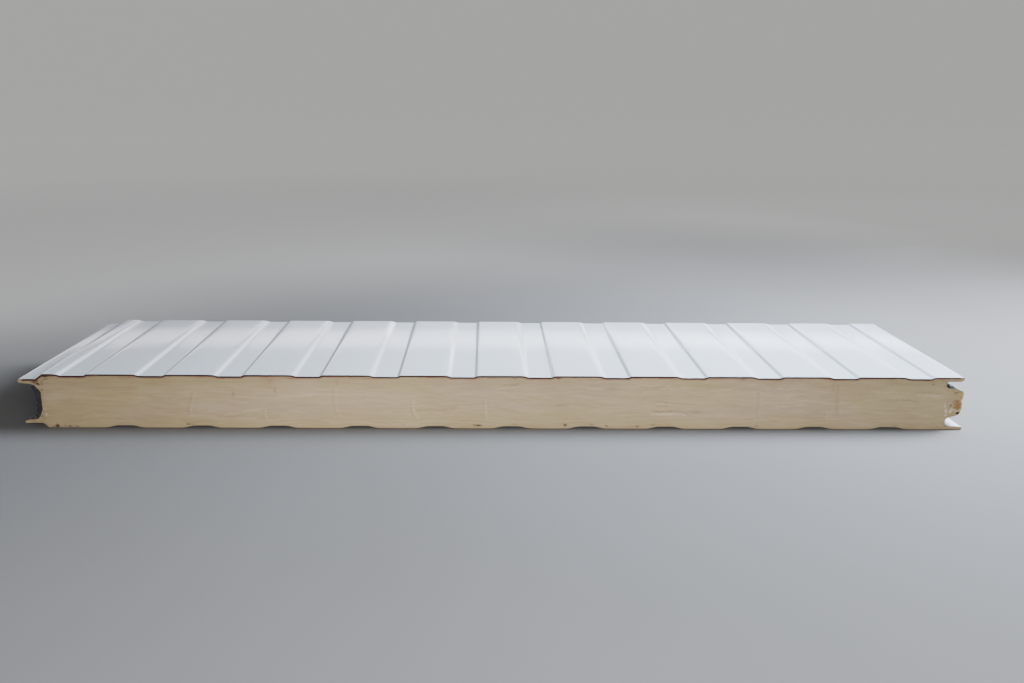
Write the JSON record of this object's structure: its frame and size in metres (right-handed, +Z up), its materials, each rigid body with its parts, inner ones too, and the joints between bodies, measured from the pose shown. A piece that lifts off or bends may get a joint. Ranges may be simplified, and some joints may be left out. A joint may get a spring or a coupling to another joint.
{
  "type": "insulated sandwich panel",
  "caption": "Flat insulated wall panel with shallow ribbed painted steel facings, a rigid foam core and tongue-and-groove long edges.",
  "frame": {"origin": "middle of the panel's footprint, on the underside of the inner sheet", "axes": "+X across the cover width from the female (gasket) edge to the male (tongue) edge, +Y along the ribs, +Z up through the thickness to the outer sheet"},
  "size_m": [1.022, 0.25, 0.06],
  "materials": {
    "outer_paint": "satin off-white polyester coil coating",
    "inner_paint": "satin off-white polyester coil coating",
    "foam": "sawn rigid closed-cell foam, tan",
    "gasket": "dark grey soft closed-cell foam strip"
  },
  "bodies": {
    "root": {"outer_sheet": "outer_paint", "inner_sheet": "inner_paint", "foam_core": "foam", "joint_gasket": "gasket"}
  },
  "joints": []
}
